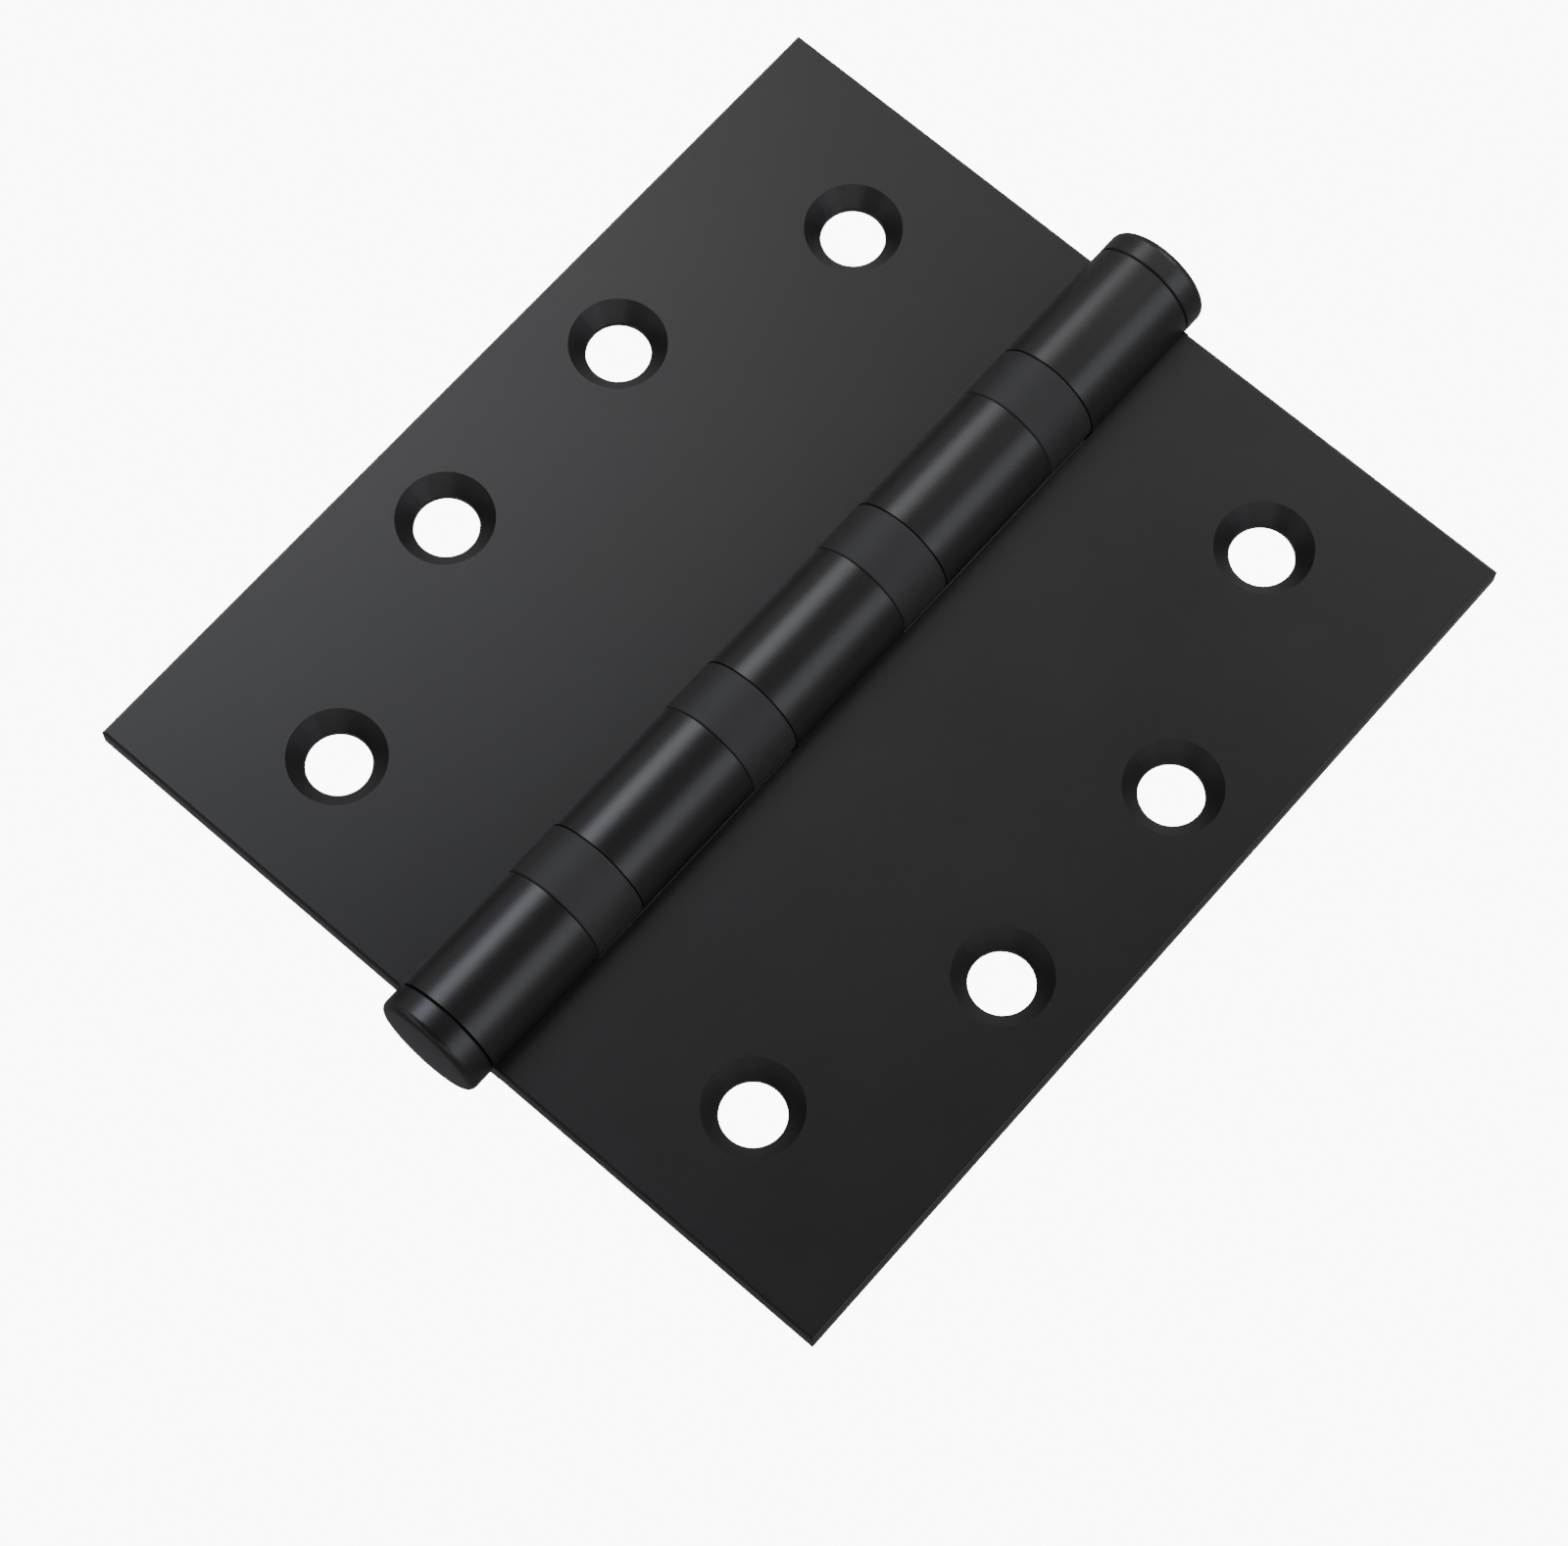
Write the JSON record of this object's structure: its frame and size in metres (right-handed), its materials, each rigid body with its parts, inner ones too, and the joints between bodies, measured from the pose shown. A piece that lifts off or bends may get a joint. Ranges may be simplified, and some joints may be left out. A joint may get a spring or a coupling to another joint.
{
  "type": "door butt hinge",
  "caption": "Black full mortise butt hinge with ball bearings between its knuckles, square corners and countersunk screw holes, shown open flat.",
  "frame": {"origin": "on the pin axis at the middle of the barrel", "axes": "+Y along the pin towards its head, +Z out of the countersunk faces with the leaves open flat, +X towards the frame leaf"},
  "size_m": [0.1016, 0.1216, 0.013],
  "materials": {
    "black_coat": "satin",
    "black_pin": "satin",
    "bearing_shell": "matte",
    "bearing_steel": "polished",
    "cage_nylon": "matte"
  },
  "bodies": {
    "frame_side": {"frame_leaf": "black_coat", "hinge_pin": "black_pin", "bottom_tip": "black_pin", "bearing_1_upper_race": "bearing_steel", "bearing_2_lower_race": "bearing_steel", "bearing_2_sleeve": "bearing_shell", "bearing_3_upper_race": "bearing_steel", "bearing_4_lower_race": "bearing_steel", "bearing_4_sleeve": "bearing_shell"},
    "door_side": {"door_leaf": "black_coat", "bearing_1_lower_race": "bearing_steel", "bearing_1_sleeve": "bearing_shell", "bearing_2_upper_race": "bearing_steel", "bearing_3_lower_race": "bearing_steel", "bearing_3_sleeve": "bearing_shell", "bearing_4_upper_race": "bearing_steel"},
    "ball_set_1": {"bearing_1_cage": "cage_nylon", "bearing_1_balls": "bearing_steel"},
    "ball_set_2": {"bearing_2_cage": "cage_nylon", "bearing_2_balls": "bearing_steel"},
    "ball_set_3": {"bearing_3_cage": "cage_nylon", "bearing_3_balls": "bearing_steel"},
    "ball_set_4": {"bearing_4_cage": "cage_nylon", "bearing_4_balls": "bearing_steel"}
  },
  "joints": [
    {"name": "leaf_swing", "type": "hinge", "parent": "frame_side", "child": "door_side", "pos_m": [0, 0, 0], "axis": [0, 1, 0], "range_deg": [-90, 180]},
    {"name": "ball_set_1_orbit", "type": "hinge", "parent": "frame_side", "child": "ball_set_1", "pos_m": [0, 0, 0], "axis": [0, 1, 0], "range_deg": [-45, 90]},
    {"name": "ball_set_2_orbit", "type": "hinge", "parent": "frame_side", "child": "ball_set_2", "pos_m": [0, 0, 0], "axis": [0, 1, 0], "range_deg": [-45, 90]},
    {"name": "ball_set_3_orbit", "type": "hinge", "parent": "frame_side", "child": "ball_set_3", "pos_m": [0, 0, 0], "axis": [0, 1, 0], "range_deg": [-45, 90]},
    {"name": "ball_set_4_orbit", "type": "hinge", "parent": "frame_side", "child": "ball_set_4", "pos_m": [0, 0, 0], "axis": [0, 1, 0], "range_deg": [-45, 90]}
  ],
  "couplings": [
    {"joint": "ball_set_1_orbit", "follows": "leaf_swing", "ratio": 0.5},
    {"joint": "ball_set_2_orbit", "follows": "leaf_swing", "ratio": 0.5},
    {"joint": "ball_set_3_orbit", "follows": "leaf_swing", "ratio": 0.5},
    {"joint": "ball_set_4_orbit", "follows": "leaf_swing", "ratio": 0.5}
  ]
}
